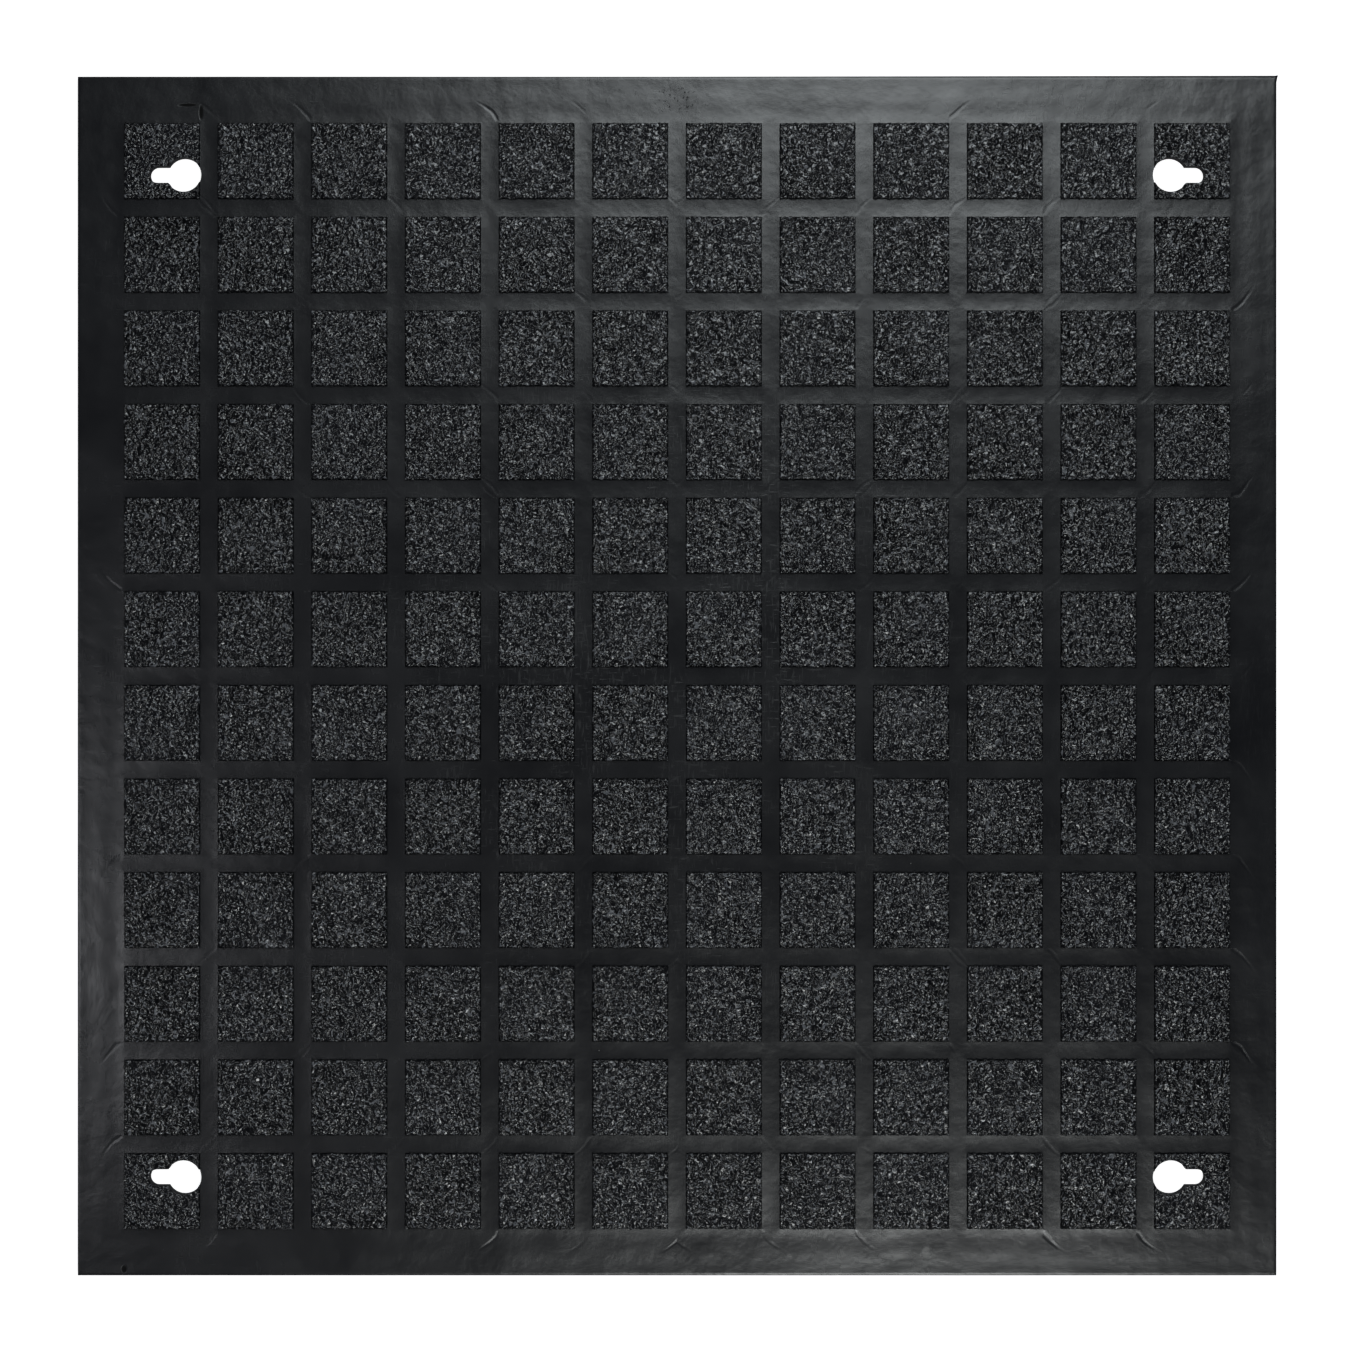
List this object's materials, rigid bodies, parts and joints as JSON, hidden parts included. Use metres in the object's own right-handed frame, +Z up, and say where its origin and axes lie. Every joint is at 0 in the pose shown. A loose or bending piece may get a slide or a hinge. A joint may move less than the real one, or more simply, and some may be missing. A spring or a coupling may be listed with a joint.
{
  "type": "door mat",
  "caption": "Square moulded rubber mat with a grid of raised roughcast scraper pads, smooth channels and a border, and a keyhole through each corner.",
  "frame": {"origin": "centre of the flat underside", "axes": "+Z up through the pads, +Y away from a person standing at the mat, +X to that person's right, with the keyhole slots pointing outwards along X"},
  "size_m": [0.4572, 0.4572, 0.0063],
  "materials": {
    "smooth_rubber": "semi-gloss black",
    "roughcast_rubber": "coarse roughcast, black, glinting"
  },
  "bodies": {
    "root": {"backing_sheet": "smooth_rubber", "channel_lattice": "smooth_rubber", "pad_strip_01": "roughcast_rubber", "pad_strip_02": "roughcast_rubber", "pad_strip_03": "roughcast_rubber", "pad_strip_04": "roughcast_rubber", "pad_strip_05": "roughcast_rubber", "pad_strip_06": "roughcast_rubber", "pad_strip_07": "roughcast_rubber", "pad_strip_08": "roughcast_rubber", "pad_strip_09": "roughcast_rubber", "pad_strip_10": "roughcast_rubber", "pad_strip_11": "roughcast_rubber", "pad_strip_12": "roughcast_rubber"}
  },
  "joints": []
}
